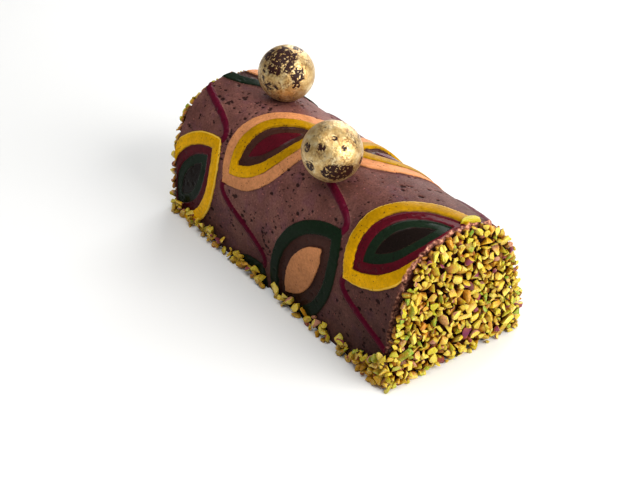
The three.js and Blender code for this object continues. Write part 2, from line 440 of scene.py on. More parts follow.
def leaf_depth(x, tape, leaf_x, leaf_tape):
    """How far in from a leaf's edge each point lies. Less than 0 is outside."""
    radius = (LEAF_LENGTH**2 + LEAF_WIDTH**2) / (4 * LEAF_WIDTH)
    along = (x - leaf_x) * HEADING_ALONG[0] + (tape - leaf_tape) * HEADING_ALONG[1]
    across = (tape - leaf_tape) * HEADING_ALONG[0] - (x - leaf_x) * HEADING_ALONG[1]
    return radius - np.hypot(along, np.abs(across) + radius - LEAF_WIDTH / 2)


def stem_line(start_leaf, end_leaf):
    """Points of an S-curve from the tip of one leaf to the tail of the next in its column."""
    start = np.array(start_leaf[:2]) + HEADING_ALONG * LEAF_LENGTH / 2
    end = np.array(end_leaf[:2]) - HEADING_ALONG * LEAF_LENGTH / 2
    pull = HEADING_ALONG * STEM_PULL
    t = np.linspace(0, 1, 40)[:, None]
    corners = (start, start + pull, end - pull, end)
    weights = ((1 - t) ** 3, 3 * t * (1 - t) ** 2, 3 * t**2 * (1 - t), t**3)
    return sum(weight * corner for weight, corner in zip(weights, corners))


def line_gap(x, tape, line):
    """Distance of each point of the flat skin from a line."""
    gap = np.full(x.shape, FAR_OFF)
    for (ax, at), (bx, bt) in zip(line[:-1], line[1:]):
        length = (bx - ax) ** 2 + (bt - at) ** 2
        share = np.clip(((x - ax) * (bx - ax) + (tape - at) * (bt - at)) / length, 0, 1)
        step = np.hypot(x - ax - share * (bx - ax), tape - at - share * (bt - at))
        gap = np.minimum(gap, step)
    return gap


leaves = list(leaf_places())
stems = []
for first in range(0, len(leaves), len(LEAF_ROWS)):
    column = leaves[first : first + len(LEAF_ROWS)]
    stems += [stem_line(lower, upper) for lower, upper in zip(column, column[1:])]
print(len(leaves), "leaves and", len(stems), "stems, some of them past the skin's edges")

# %% [markdown]
# ## The skin as a grid
#
# A displacement modifier could make the relief too. A dense grid that a formula moves is better
# here, because the same formula tells the material where each band lies. Its squares are two
# thirds of a millimetre, so the edge of a band shows as a real step.

# %% Grid over the skin
GRID = 0.66
end_steps = np.array([0.0, 0.15, 0.4, 0.7])
middle_steps = np.linspace(1.0, LOG_LENGTH - 1.0, int((LOG_LENGTH - 2) / GRID))
grid_x = np.concatenate([end_steps, middle_steps, LOG_LENGTH - end_steps[::-1]]) - END
grid_tape = np.linspace(0, SKIN_ARC, int(SKIN_ARC / GRID))
rows, columns = len(grid_x), len(grid_tape)
x_of, tape_of = (part.ravel() for part in np.meshgrid(grid_x, grid_tape, indexing="ij"))
bare_skin = on_skin(x_of, tape_of, 0.0)

depth = np.full(x_of.shape, -FAR_OFF)
style = np.zeros(x_of.shape, int)
for leaf_x, leaf_tape, leaf_style in leaves:
    here = leaf_depth(x_of, tape_of, leaf_x, leaf_tape)
    style = np.where(here > depth, leaf_style, style)
    depth = np.maximum(depth, here)
# the edges of bands and stems wander by a few tenths
depth += 0.28 * smooth_noise(bare_skin, 9, 31) + 0.12 * smooth_noise(bare_skin, 2.5, 32)

stem_gap = np.full(x_of.shape, FAR_OFF)
for line in stems:
    stem_gap = np.minimum(stem_gap, line_gap(x_of, tape_of, line))
stem_gap += 0.16 * smooth_noise(bare_skin, 4, 33)
print("grid of", rows, "by", columns, "points")

# %% [markdown]
# ## Relief
#
# Inlays made in a mould sit a little above or below the mousse: raised bands have soft shoulders
# and the dark glossy ones lie in shallow trays. Stems are half-round beads. Air bubbles leave
# pits, some of them drawn out, and the whole skin waves by a few tenths of a millimetre.

# %% Heights of the skin
BAND_SHOULDER = 0.7
CROWN = 0.3  # how far the middle of a mustard band rises
PITS = 1550
PIT_DEPTH = 0.55
CLUSTER = 1.6  # how far apart the pits of a cluster lie
EDGE_ROUND = 1.0
RAGGED = 1.3

height = np.zeros(x_of.shape)
for number, bands in enumerate(LEAF_STYLES):
    level = 0.0
    rise = np.zeros(x_of.shape)
    for start, _, band_level, _ in bands:
        edge = smooth_step(depth, start - BAND_SHOULDER / 2, start + BAND_SHOULDER / 2)
        rise += (band_level - level) * edge
        level = band_level
    for (start, colour, _, _), (stop, _, _, _) in zip(bands, bands[1:]):
        if colour == MUSTARD:
            across_band = (2 * depth - start - stop) / (stop - start)
            rise += CROWN * np.clip(1 - across_band**2, 0, 1)
    height = np.where(style == number, rise, height)

bead = STEM_RISE * np.sqrt(np.clip(1 - (stem_gap / (STEM_WIDTH / 2)) ** 2, 0, 1))
height = np.where(depth < 0.2, np.maximum(height, bead), height)
height += 0.22 * smooth_noise(bare_skin, 24, 41) + 0.05 * layered_noise(bare_skin, 3.2, 42)

pit = np.zeros((rows, columns))
pit_source = np.random.default_rng(5)
x, tape = 0.0, 0.0
for _ in range(PITS):
    if pit_source.random() < 0.6:  # the others lie close to the one before
        x = pit_source.uniform(-END, END)
        tape = pit_source.uniform(0, SKIN_ARC)
    else:
        x += pit_source.normal(0, CLUSTER)
        tape += pit_source.normal(0, CLUSTER)
    size = 0.3 + 0.6 * pit_source.random() ** 3  # most are small
    stretch = pit_source.uniform(0.6, 1.8)
    i = slice(*np.searchsorted(grid_x, (x - 3, x + 3)))
    j = slice(*np.searchsorted(grid_tape, (tape - 3, tape + 3)))
    gap = np.hypot((grid_x[i, None] - x) / stretch, grid_tape[None, j] - tape)
    pit[i, j] = np.maximum(pit[i, j], np.clip(1.6 - gap / size, 0, 1))
pit = pit.ravel() * np.where(depth > 0, 0.4, 1.0)  # fainter on the inlays
height -= PIT_DEPTH * pit

to_end = END - np.abs(x_of)
short_of = np.clip(EDGE_ROUND - to_end, 0, EDGE_ROUND)
height -= EDGE_ROUND - np.sqrt(EDGE_ROUND**2 - 0.98 * short_of**2)
skin = on_skin(x_of, tape_of, height)

# the skin's two ends are torn to a ragged line
at_end = bare_skin * (0, 1, 1) + np.sign(x_of)[:, None] * (50, 0, 0)
tear = RAGGED * np.clip(0.5 + 0.7 * layered_noise(at_end, 2.6, 43), 0, 1)
skin[:, 0] -= np.sign(x_of) * tear * np.clip(1 - to_end / 3, 0, 1)
print("relief from", round(height.min(), 2), "to", round(height.max(), 2), "mm")

# %% [markdown]
# The balls are stuck on while the mousse is soft, so it gives way under them. We push every point
# of the skin that would be inside a ball out to the ball's surface, plus a hair of clearance.

# %% Dimples under the balls
BALL_RADIUS = 15.0
BALL_CLEARANCE = 0.1
ball_places = {}
for node in ("ball_rear", "ball_front"):
    low, high = np.array(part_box(node)) / MM
    ball_places[node] = (low + high) / 2
    away = skin - ball_places[node]
    gap = np.linalg.norm(away, axis=1, keepdims=True)
    reach = BALL_RADIUS + BALL_CLEARANCE
    skin = np.where(gap < reach, ball_places[node] + away / gap * reach, skin)
    print(node, "stands at", np.round(ball_places[node], 1))

# %% [markdown]
# ## Ends of the log
#
# The skin stops at a torn edge of mousse, a couple of millimetres wide, before the nuts begin. We
# carry the grid on round each end as rings that step inwards, roughen them, and close the middle
# with one flat face, which the nuts hide. One closed mesh keeps the log a true solid.

# %% Close the ends and the base
RING_INSETS = (0.35, 0.75, 1.2, 1.7, 2.3, 3.0, 3.8, 4.8)
CRUMB = 0.55

log_points = [skin]
torn = [smooth_step(1.2 * smooth_noise(skin, 1.6, 51) - to_end, -1.0, -0.1)]
quads = []


def join_rows(first, second):
    """Faces between two rows of points, each given by the number of its first point."""
    first, second = first + np.arange(columns - 1), second + np.arange(columns - 1)
    quads.extend(np.column_stack([first, second, second + 1, first + 1]).tolist())


for row in range(rows - 1):
    join_rows(row * columns, (row + 1) * columns)

ring_starts = {1: [], -1: []}
count = rows * columns
for end in (1, -1):
    last = (rows - 1) * columns if end > 0 else 0
    edge = skin[last : last + columns]
    out_y, out_z = section_out(edge[:, 1], edge[:, 2])
    for inset in RING_INSETS:
        ring = edge.copy()
        ring[:, 1] -= out_y * inset
        ring[:, 2] = np.maximum(ring[:, 2] - out_z * inset, 0)
        if inset < RING_INSETS[-1]:
            crumbs = CRUMB * layered_noise(ring + 7, 1.6, 52) + 0.6
            ring[:, 0] += end * np.clip(crumbs, -0.2, 1.5) * smooth_step(ring[:, 2], 0, 1)
            ring[:, 1] += 0.25 * smooth_noise(ring, 1.2, 53)
        else:
            ring[:, 0] = end * END
        log_points.append(ring)
        torn.append(np.full(columns, 1 - 2 * smooth_step(inset, 1.0, 3.0)))
        join_rows(*((last, count) if end > 0 else (count, last)))
        ring_starts[end].append(count)
        last = count
        count += columns


def far_side(starts):
    """The last point of each row, on the far side, from its first."""
    return [start + columns - 1 for start in starts]


front, rear, near = ring_starts[1], ring_starts[-1], [row * columns for row in range(rows)]
front_face = list(range(front[-1], front[-1] + columns))[::-1]
rear_face = list(range(rear[-1], rear[-1] + columns))
base_face = near + front + (far_side(near) + far_side(front))[::-1] + far_side(rear) + rear[::-1]
base_face.reverse()

log_points = np.concatenate(log_points)
torn = np.concatenate(torn)  # 1 on the torn rim, -1 behind the nuts
ring_points = count - rows * columns


def with_rings(numbers, value):
    """The skin's numbers with one value added for every point of the rings."""
    return np.concatenate([numbers, np.full(ring_points, float(value))])


print("torn rim of", len(RING_INSETS), "rings at each end")

# %% [markdown]
# ## Finish of the mousse
#
# The skin is cocoa butter sprayed on mousse: satin, mauve-brown, with pits that carry painted
# shade, a few pale specks and soft clouds. The inlays are smoother and deeper in colour, and the
# dark ones have a thin glaze. One material makes all of it from the numbers stored on the points:
# a ramp with sudden steps turns the distance from a leaf's edge into bands of colour, once for each
# style, and the style's number picks one. More such ramps give the bands' gloss, their glaze and
# how strong their colours are by height, which is painted light and shade.

# %% Material of the skin
SEAM = 0.4  # half the width of the fine line where two bands meet, in mm
# the pale line inside a mustard edge is a painted highlight
HIGHLIGHT_HALF_WIDTH = 0.5  # half the width of the pale lip inside a mustard edge, in mm
GLAZED = 0.25  # bands of less roughness than this have a glaze
DEEPEST = LEAF_WIDTH / 2

mousse = Finish("mousse_skin")
# short names for what this finish uses most
span, clouds, times, mix = mousse.span, mousse.clouds, mousse.times, mousse.mix
leaf_edge = mousse.stored("leaf_depth")
leaf_style = mousse.stored("leaf_style")
depth_share = mousse.math("DIVIDE", leaf_edge, DEEPEST)
seam_share = mousse.math("DIVIDE", mousse.math("ADD", leaf_edge, 1.0), DEEPEST + 1)
inside = span(leaf_edge, -0.05, 0.05)


def by_band(starts, values):
    """A ramp over a leaf that changes suddenly at the start of each band."""
    stops = [(start / DEEPEST, value) for start, value in zip(starts, values)]
    return mousse.ramp(depth_share, stops, sudden=True)


browns = [(0.3, (98, 60, 54)), (0.5, (113, 73, 66)), (0.7, (128, 87, 77))]
plain = mousse.ramp(mousse.noise(22, 4), browns)
plain = mousse.blotched(plain, (100, 62, 70), 9, 0.5, 0.68, 0.6, detail=2)
plain = mousse.blotched(plain, (72, 42, 38), 0.9, 0.4, 0.7, 0.55)
plain = mix(mousse.dots(2.1, 0.1, 3.1, 0.56), plain, (156, 92, 84))
# painted light and shade: the plain mousse is lighter up the slope and darker towards both ends
painted_light_up_slope = mousse.by_axis("Z", 0.004, 0.04, 1.0, 1.15)
painted_shade_to_front = mousse.by_axis("X", 0.01, 0.085, 1.0, 0.52)
painted_shade_to_rear = mousse.by_axis("X", -0.05, -0.09, 1.0, 0.82)
light = times(painted_light_up_slope, times(painted_shade_to_front, painted_shade_to_rear))

colour = mix(1.0, plain, light, "MULTIPLY")
roughness = clouds(1.5, 0.3, 0.7, 0.38, 0.52)
seam = glaze = 0.0
painted_light_levels = list(PLAIN_PAINTED_LIGHT)
for number, bands in enumerate(LEAF_STYLES):
    starts, paints, _, gloss = zip(*bands)
    is_style = mousse.math("COMPARE", leaf_style, float(number), 0.5)
    here = times(is_style, inside)
    colour = mix(here, colour, by_band(starts, paints))
    roughness = span(here, 0, 1, roughness, by_band(starts, gloss))
    glazed = [float(value < GLAZED) for value in gloss]
    glaze = span(here, 0, 1, glaze, by_band(starts, glazed))
    for k in range(3):
        # the painted light goes past 1 and a ramp shouldn't, so it holds half of each
        halves = [PAINTED_LIGHT.get(paint, PLAIN_PAINTED_LIGHT)[k] / 2 for paint in paints]
        painted_light_levels[k] = span(here, 0, 1, painted_light_levels[k], times(by_band(starts, halves), 2.0))
    lines = [
        ((start + 1 + side * SEAM) / (DEEPEST + 1), 1 - abs(side))
        for start in starts
        for side in (-1, 0, 1)
    ]
    seam = span(is_style, 0, 1, seam, mousse.ramp(seam_share, lines))

on_stem = span(mousse.stored("stem_gap"), STEM_WIDTH / 2 + 0.06, STEM_WIDTH / 2 - 0.06)
on_stem = times(on_stem, mousse.math("SUBTRACT", 1.0, inside))
colour = mix(on_stem, colour, (82, 12, 33))
roughness = span(on_stem, 0, 1, roughness, 0.28)

clouds_and_painted_light = clouds(7, 0.3, 0.7, 0.86, 1.1)
mottle = clouds(1.3, 0.35, 0.65, 0.84, 1.08, detail=4)
# painted light and shade: each colour is scaled by height, from the foot up to the ridge
painted_light_by_height = mousse.by_axis("Z", 0.004, 0.05, painted_light_levels[0], painted_light_levels[1])
painted_light_by_height = mousse.by_axis("Z", 0.05, 0.068, painted_light_by_height, painted_light_levels[2])
clouds_and_painted_light = times(times(clouds_and_painted_light, mottle), painted_light_by_height)
colour = mix(1.0, colour, clouds_and_painted_light, "MULTIPLY")
seam_shadow = times(seam, clouds(4, 0.4, 0.6, 0.1, 0.75, detail=4))
colour = mix(seam_shadow, colour, (46, 22, 16))
# painted highlight: a thin pale line just inside the mustard leaves' raised edge
off_highlight = mousse.math("ABSOLUTE", mousse.math("SUBTRACT", leaf_edge, HIGHLIGHT_HALF_WIDTH))
edge_highlight = times(span(off_highlight, HIGHLIGHT_HALF_WIDTH, 0.1, 0, 0.8), span(leaf_style, 0.4, 0.3))
colour = mix(edge_highlight, colour, (226, 184, 72))
ragged_pit = mousse.math("ADD", mousse.stored("pit"), clouds(0.6, 0, 1, -0.4, 0.4))
pinprick = mousse.dots(1.7, 0.12, 2.3, 0.54)
hollow = mousse.math("MAXIMUM", span(ragged_pit, 0.35, 0.6), pinprick)
hollow = times(hollow, span(on_stem, 0, 1, 1.0, 0.15))
# painted shade: the pits and pinpricks are darkened in colour, for the shade in them
colour = mix(times(hollow, 0.85), colour, (30, 14, 14))
rim = mousse.stored("torn")
browns = [(0.36, (46, 22, 18)), (0.5, (98, 58, 46)), (0.68, (172, 122, 98))]
crumb_colour = mousse.ramp(mousse.noise(1.5, 4), browns)
# painted light: the torn rim is lighter towards the top and darker lower down
painted_top_light = mousse.by_axis("Z", 0.045, 0.07, 0.7, 1.9)
crumb_colour = mix(1.0, crumb_colour, painted_top_light, "MULTIPLY")
colour = mix(span(rim, 0, 1), colour, crumb_colour)
colour = mix(span(rim, 0, -1), colour, (50, 18, 10))
roughness = span(mousse.math("ABSOLUTE", rim), 0, 1, roughness, 0.7)

glaze = span(glaze, 0, 1, 0.05, 0.18)
grain = mousse.bump(mousse.noise(0.5, 2), 0.05)
grooved = mousse.bump(mousse.math("SUBTRACT", 1.0, seam), 0.2, under=grain)
mousse.surface({
    "Base Color": colour,
    "Roughness": roughness,
    "Specular IOR Level": 0.02,
    "Coat Weight": times(glaze, mousse.by_axis("Z", 0.035, 0.06)),
    "Coat Roughness": 0.25,
    "Normal": mousse.bump(mousse.math("SUBTRACT", 1.0, hollow), 0.25, under=grooved),
})

quads += [front_face, rear_face, base_face]
marks = {
    "leaf_depth": with_rings(depth, -9),
    "leaf_style": with_rings(style, 0),
    "stem_gap": with_rings(stem_gap, 9),
    "pit": with_rings(pit, 0),
    "torn": torn,
}
make_piece("mousse_log", log_points, quads, [mousse], "log", marks)

# %% [markdown]
# ## Chopped pistachio: the forms
#
# A chopped nut is a kernel that a knife has gone through a few times, so we slice a kernel with
# some planes and keep what is left. The cut faces are pale flesh and the rest is skin, so each
# gets a finish of its own. A rounded bevel softens the edges. Forty forms are enough, once each
# is turned and scaled in its own way.

# %% Slice the kernels
FORMS = 40
KERNEL = (1.0, 0.68, 0.6)  # half length, width and thickness
THINNEST = 0.27  # least thickness of a form, in parts of its length
FLESH, PEEL = 0, 1
form_source = np.random.default_rng(17)


def random_cuts(random):
    """Some planes through a kernel, each as the way it faces and how far out it lies."""
    cuts = []
    for _ in range(random.integers(4, 8)):
        slope = random.normal(size=3)
        cuts.append((slope / np.linalg.norm(slope), random.uniform(0.08, 0.42)))
    return cuts


def sliced_kernel(cuts):
    """Points, triangles and their finishes of a kernel after some cuts, 1 mm long."""
    form = bmesh.new()
    bmesh.ops.create_icosphere(form, subdivisions=2, radius=1.0)
    bmesh.ops.scale(form, vec=KERNEL, verts=form.verts)
    for face in form.faces:
        face.material_index = PEEL
    for slope, out in cuts:
        parts = [*form.verts, *form.edges, *form.faces]
        cut = bmesh.ops.bisect_plane(
            form, geom=parts, plane_co=slope * out, plane_no=slope, clear_outer=True
        )
        rim_edges = [part for part in cut["geom_cut"] if isinstance(part, bmesh.types.BMEdge)]
        for face in bmesh.ops.holes_fill(form, edges=rim_edges, sides=0)["faces"]:
            face.material_index = FLESH
    bmesh.ops.remove_doubles(form, verts=form.verts, dist=0.03)
    sharp = [edge for edge in form.edges if edge.is_manifold and edge.calc_face_angle() > 0.5]
    bmesh.ops.bevel(
        form, geom=sharp, offset=0.07, segments=2, profile=0.5, affect="EDGES", clamp_overlap=True
    )
    bmesh.ops.triangulate(form, faces=form.faces)
    bmesh.ops.recalc_face_normals(form, faces=form.faces)
    form.verts.index_update()
    points = np.array([vert.co for vert in form.verts])
    triangles = np.array([[vert.index for vert in face.verts] for face in form.faces])
    kinds = np.array([face.material_index for face in form.faces])
    form.free()
    points -= (points.max(0) + points.min(0)) / 2
    return points / np.ptp(points, axis=0).max(), triangles, kinds


forms = []
while len(forms) < FORMS:
    form = sliced_kernel(random_cuts(form_source))
    if np.ptp(form[0], axis=0).min() > THINNEST:
        forms.append(form)
# one more form is a long slice, cut below, above and along a side
SLICE_CUTS = [((0, 0, -1), 0.04), ((0, 0, 1), 0.3), ((-0.25, -0.968, 0), 0.05)]
kernel_slice = sliced_kernel([(np.array(slope, float), out) for slope, out in SLICE_CUTS])
print(FORMS, "forms,", sum(len(form[1]) for form in forms) // FORMS, "triangles each on average")

# %% [markdown]
# ## Chopped pistachio: the heaps
#
# Scattered at random, the pieces would sink into each other. Instead each one is dropped: a map
# holds how high the heap stands everywhere, a piece tries several spots, comes down until it
# touches, and takes the lowest. The map then rises under it. The same class fills the ends, where
# "down" is towards the log, and the strips along the foot, where it is towards the floor.

# %% Drop pieces onto a bed
NUT_SIZES = (2.4, 7.2)  # shortest and longest, in mm
MAP_CELL = 0.5
AVERAGE = 4  # cells to each side that the heap's height is averaged over
# parts of a piece's half height: its underside's rise, its middle's rest and its top's rise
UNDERSIDE, NESTLE, TOP = 0.8, 0.85, 0.75


class Heap:
    """Pieces dropped on a flat bed, in the bed's own across, along and up, in millimetres."""

    def __init__(self, low, high, ceiling, seed, painted_shade_depths=(-9.0, 9.0)):
        self.low = np.array(low, float)
        self.map = np.zeros(np.ceil((np.array(high) - self.low) / MAP_CELL).astype(int))
        self.ceiling = ceiling  # gives the greatest height at a spot
        # the shade painted on the pieces follows their depth between these two
        self.painted_shade_depths = painted_shade_depths  # least and greatest depth that colour the pieces
        self.random = np.random.default_rng(seed)
        self.pieces = []

    def under(self, spot, reach):
        """The part of the map under a piece, and how round the piece is there."""
        first = np.maximum(((spot - reach[:2] - self.low) / MAP_CELL).astype(int), 0)
        last = ((spot + reach[:2] - self.low) / MAP_CELL).astype(int) + 1
        window = self.map[first[0] : last[0], first[1] : last[1]]
        across, along = (
            ((start + np.arange(cells) + 0.5) * MAP_CELL + low - middle) / half
            for start, cells, low, middle, half in zip(first, window.shape, self.low, spot, reach)
        )
        bulge = np.sqrt(np.clip(1 - across[:, None] ** 2 - along[None, :] ** 2, 0, 1))
        return window, bulge

    def drop(self, choose_spot, size, tries=10, lean=0.7):
        """Drops one piece on the lowest of a few spots, unless the heap is full there."""
        random = self.random
        form = forms[random.integers(FORMS)]
        turn = Euler((random.normal() * lean, random.normal() * lean, random.uniform(0, 6.28)))
        points = form[0] @ np.array(turn.to_matrix()).T * size
        points -= (points.max(0) + points.min(0)) / 2
        reach = points.max(0)
        trials = []
        for _ in range(tries):
            spot = np.array(choose_spot(random, reach))
            window, bulge = self.under(spot, reach)
            if bulge.size:
                touching = window - UNDERSIDE * reach[2] * (1 - bulge)
                rest = np.max(touching, where=bulge > 0, initial=0.0) + NESTLE * reach[2]
                trials.append((rest, spot, window, bulge))
        if not trials:
            return
        rest, spot, window, bulge = min(trials, key=lambda trial: trial[0])
        if rest + reach[2] > self.ceiling(*spot):
            return
        top = np.where(bulge > 0, rest + TOP * reach[2] * bulge, 0)
        np.maximum(window, top, out=window)
        place = np.array([*spot, rest])
        self.pieces.append((form, points + place, random.random(), random.random(), True))

    def lay(self, place, angles, length, tone, peel):
        """Lays a slice of a kernel at a given place, on top of everything."""
        turn = np.array(Euler(np.radians(angles)).to_matrix())
        points = kernel_slice[0] @ turn.T * length + place
        self.pieces.append((kernel_slice, points, tone, peel, False))

    def sunk(self, points):
        """How far points lie under the heap's height, as averaged over a few millimetres."""
        spread = np.pad(self.map, AVERAGE, mode="edge")
        width = 2 * AVERAGE + 1
        for axis in (0, 1):
            total = np.insert(np.cumsum(spread, axis=axis), 0, 0, axis=axis)
            ahead = np.arange(width, total.shape[axis])
            spread = (total.take(ahead, axis) - total.take(ahead - width, axis)) / width
        cell = ((points[:, :2] - self.low) / MAP_CELL).astype(int)
        cell = np.clip(cell, 0, np.array(self.map.shape) - 1)
        return np.clip(spread[cell[:, 0], cell[:, 1]] - points[:, 2], *self.painted_shade_depths)


def nut_size(random, mean=6.2):
    """The length of a piece: mostly near the mean, with some crumbs and big chips."""
    mean *= random.choice((0.6, 1.0, 1.25), p=(0.1, 0.68, 0.22))
    return float(np.clip(random.normal(mean, 0.17 * mean), *NUT_SIZES))


# %% [markdown]
# ## Finish of the nuts
#
# Fresh pistachio runs from pale yellow to leaf green, and roasting turns some pieces amber. The
# flesh is waxy, so it has a soft gloss and lets a little light in. The papery skin is purple or
# brown, and on many pieces it has rubbed off. Between the pieces shade is painted in: the colour
# turns amber and then dark with depth.

# %% Materials of the nuts
nut_flesh = Finish("pistachio_flesh")
flesh_colour = nut_flesh.ramp(
    nut_flesh.stored("tone"),
    [(0.0, (192, 168, 30)), (0.15, (216, 200, 88)), (0.35, (184, 168, 20)),
     (0.5, (170, 168, 32)), (0.65, (214, 194, 74)), (0.82, (200, 166, 36)),
     (0.87, (190, 124, 26)), (0.91, (146, 160, 34)), (1.0, (104, 140, 26))],
)
flesh_colour = nut_flesh.blotched(flesh_colour, (222, 198, 100), 1.1, 0.48, 0.7, 0.4)
flesh_colour = nut_flesh.blotched(flesh_colour, (184, 116, 20), 2.3, 0.52, 0.7, 0.45)


def paint_shade_below(finish, colour):
    """Paints shade between the pieces: turns a colour amber and then dark with depth."""
    sunk = finish.stored("sunk")
    colour = finish.mix(finish.span(sunk, -1.3, 0.6, 0, 0.85), colour, (160, 84, 4))
    return finish.mix(finish.span(sunk, 0.3, 1.8, 0, 0.98), colour, (40, 8, 4))


nut_flesh.surface({
    "Base Color": paint_shade_below(nut_flesh, flesh_colour),
    "Specular IOR Level": 0.3,
    "Roughness": nut_flesh.clouds(0.8, 0.3, 0.7, 0.22, 0.42),
    "Subsurface Weight": 0.45,
    "Subsurface Radius": (0.0018, 0.0013, 0.0004),
    "Normal": nut_flesh.bump(nut_flesh.noise(0.7, 2), 0.25),
})

nut_peel = Finish("pistachio_skin")
peel_colour = nut_peel.ramp(
    nut_peel.stored("peel"),
    [(0.0, (96, 24, 62)), (0.13, (128, 48, 72)), (0.18, (84, 46, 30)),
     (0.3, (184, 130, 106)), (0.4, (176, 120, 84)), (0.44, (182, 142, 34)),
     (0.62, (168, 150, 30)), (0.8, (214, 180, 46)), (1.0, (150, 146, 32))],
)
peel_colour = nut_peel.blotched(peel_colour, (96, 52, 36), 0.9, 0.5, 0.65, 0.6)
nut_peel.surface({
    "Base Color": paint_shade_below(nut_peel, peel_colour),
    "Specular IOR Level": 0.22,
    "Roughness": 0.45,
    "Normal": nut_peel.bump(nut_peel.noise(0.5, 3), 0.15),
})

# %% [markdown]
# A heap's pieces become one mesh. Every point also carries three numbers for the materials: the
# tone of its piece, the state of its piece's skin, and how deep the point itself lies, which sets
# the painted shade.

# %% Join a heap into one piece
ALL_PEEL = 0.03  # share of the pieces that are dark scraps of skin alone
ON_TOP = -2.0  # the depth of a slice that was laid on top


def join_heap(name, heap, to_cake, shift, node):
    """One mesh of all pieces of a heap, turned and moved from its bed to the cake."""
    points, triangles, kinds, marks = [], [], [], []
    count = 0
    winding = -1 if np.linalg.det(to_cake) < 0 else 1  # a mirrored bed turns faces inside out
    for (_, form_triangles, form_kinds), placed, tone, peel, dropped in heap.pieces:
        each = np.ones(len(placed))
        marks.append([tone * each, peel * each, heap.sunk(placed) if dropped else ON_TOP * each])
        points.append(placed @ np.array(to_cake).T + shift)
        triangles.append(form_triangles[:, ::winding] + count)
        kinds.append(np.full_like(form_kinds, PEEL) if peel < ALL_PEEL else form_kinds)
        count += len(placed)
    points = np.concatenate(points)
    points[:, 2] = np.maximum(points[:, 2], 0)
    print(name, "keeps", len(heap.pieces), "nuts")
    triangles = np.concatenate(triangles).tolist()
    marks = dict(zip(("tone", "peel", "sunk"), np.hstack(marks)))
    finishes = [nut_flesh, nut_peel]
    kinds = np.concatenate(kinds)
    make_piece(name, points, triangles, finishes, node, marks, kinds)


# %% [markdown]
# ## Nuts on the ends
#
# The ends are pressed into a tray of chopped nuts. At the front the nuts reach past the skin on
# the far side and at the near corner. Elsewhere they stop at it, and the torn rim shows. At the
# rear they stop short over the top. `skin_inset` says how far inside the section a spot lies, so
# the coat can follow its outline. A row along the rim comes first, then the face, then crumbs.

# %% Coat the ends
COAT_DEPTH = 6.5
NUTS_PER_END = 680
NUTS_ON_RIM = 300
NUTS_AT_CORNER = 90
CRUMBS_PER_END = 440
RIM_NUTS = (3.4, 5.4)  # shortest and longest, in mm
NUT_CRUMBS = (2.2, 3.6)
PAST_CORNER, PAST_FAR_SIDE, PAST_REAR = 3.0, 1.4, 0.9  # how far nuts reach past the skin
SHORT_OF_TOP = 4.0
CAKE_REACH = model_box[1][1] / MM


def skin_inset(y, z):
    """How far inside the section's outline a spot lies, in millimetres."""
    z = max(z, 0.01)
    size = (abs(2 * y / LOG_WIDTH) ** ROUNDNESS + (z / LOG_HEIGHT) ** ROUNDNESS) ** (1 / ROUNDNESS)
    edge_y, edge_z = y / size, z / size
    out_y, out_z = section_out(np.array(edge_y), np.array(edge_z))
    return float((edge_y - y) * out_y + (edge_z - z) * out_z)


def coat_end(name, node, rim_at, thinner, side, seed, laid=()):
    """Fills one end with nuts, thinner at the rim. Side is 1 at the front and -1 at the rear."""

    def thickness(across, along):  # thinner at the rim, but not near the floor
        near_rim = 1 - smooth_step(skin_inset(across, along), -3, 7)
        return COAT_DEPTH - thinner * near_rim * smooth_step(along, 5, 14)

    heap = Heap((-CAKE_REACH, 0), (CAKE_REACH, LOG_HEIGHT + 4), thickness, seed)

    def on_face(random, reach):
        while True:
            across = random.uniform(-SIDE - 2, SIDE + 2)
            along = random.uniform(0, LOG_HEIGHT + 1)
            margin = max(0.8 * reach[:2].max(), 1.7)
            if skin_inset(across, along) > rim_at(across, along) + margin:
                return across, max(along, 0.9 * reach[1])

    def on_rim(random, reach):
        y, z, out_y, out_z = at_tape(random.uniform(0, SKIN_ARC))
        half_width = abs(out_y) * reach[0] + abs(out_z) * reach[1]
        inset = rim_at(y, z) + 0.85 * half_width + abs(random.normal(0, 0.4))
        return y - out_y * inset, max(z - out_z * inset, 0.9 * reach[1])

    def near_corner(random, reach):
        across = -random.uniform(SIDE - 12, CAKE_REACH - reach[0])
        return across, reach[1] * 0.9 + abs(random.normal(0, 5))

    for _ in range(NUTS_ON_RIM):
        heap.drop(on_rim, heap.random.uniform(*RIM_NUTS), tries=4, lean=0.3)
    for _ in range(NUTS_PER_END):
        heap.drop(on_face, nut_size(heap.random))
    for _ in range(NUTS_AT_CORNER if side == 1 else 0):
        heap.drop(near_corner, nut_size(heap.random), tries=3)
    for number in range(CRUMBS_PER_END):  # one in four fills a gap along the rim
        heap.drop(on_face if number % 4 else on_rim, heap.random.uniform(*NUT_CRUMBS), tries=14)
    for one in laid:
        heap.lay(*one)
    # across, along and up on the bed become the cake's y, z and outward x
    to_cake = ((0, 0, side), (1, 0, 0), (0, 1, 0))
    join_heap(name, heap, to_cake, (side * END, 0, 0), node)


# two slices stand out: places across, along and up, angles, length, tone and skin
LAID_NUTS = [
    ((8.3, 73.6, -1.8), (-84, -9, 0), 9.8, 0.36, 0.95),
    ((-38.5, 2.2, 3.2), (25, 20, 10), 7.2, 0.6, 0.95),
]


def front_rim(across, along):
    """How far inside the outline the coat stops. Less than 0 is past the skin."""
    at_near_corner = (1 - smooth_step(across, -20, 20)) * (1 - smooth_step(along, 8, 26))
    return 0.2 - PAST_CORNER * at_near_corner - PAST_FAR_SIDE * smooth_step(across, 4, 18)


def rear_rim(across, along):
    return SHORT_OF_TOP * smooth_step(along, 60, 68) - PAST_REAR


coat_end("nuts_front", "nut_coat_front", front_rim, thinner=2.6, side=1, seed=101, laid=LAID_NUTS)
coat_end("nuts_rear", "nut_coat_rear", rear_rim, thinner=4.0, side=-1, seed=102)

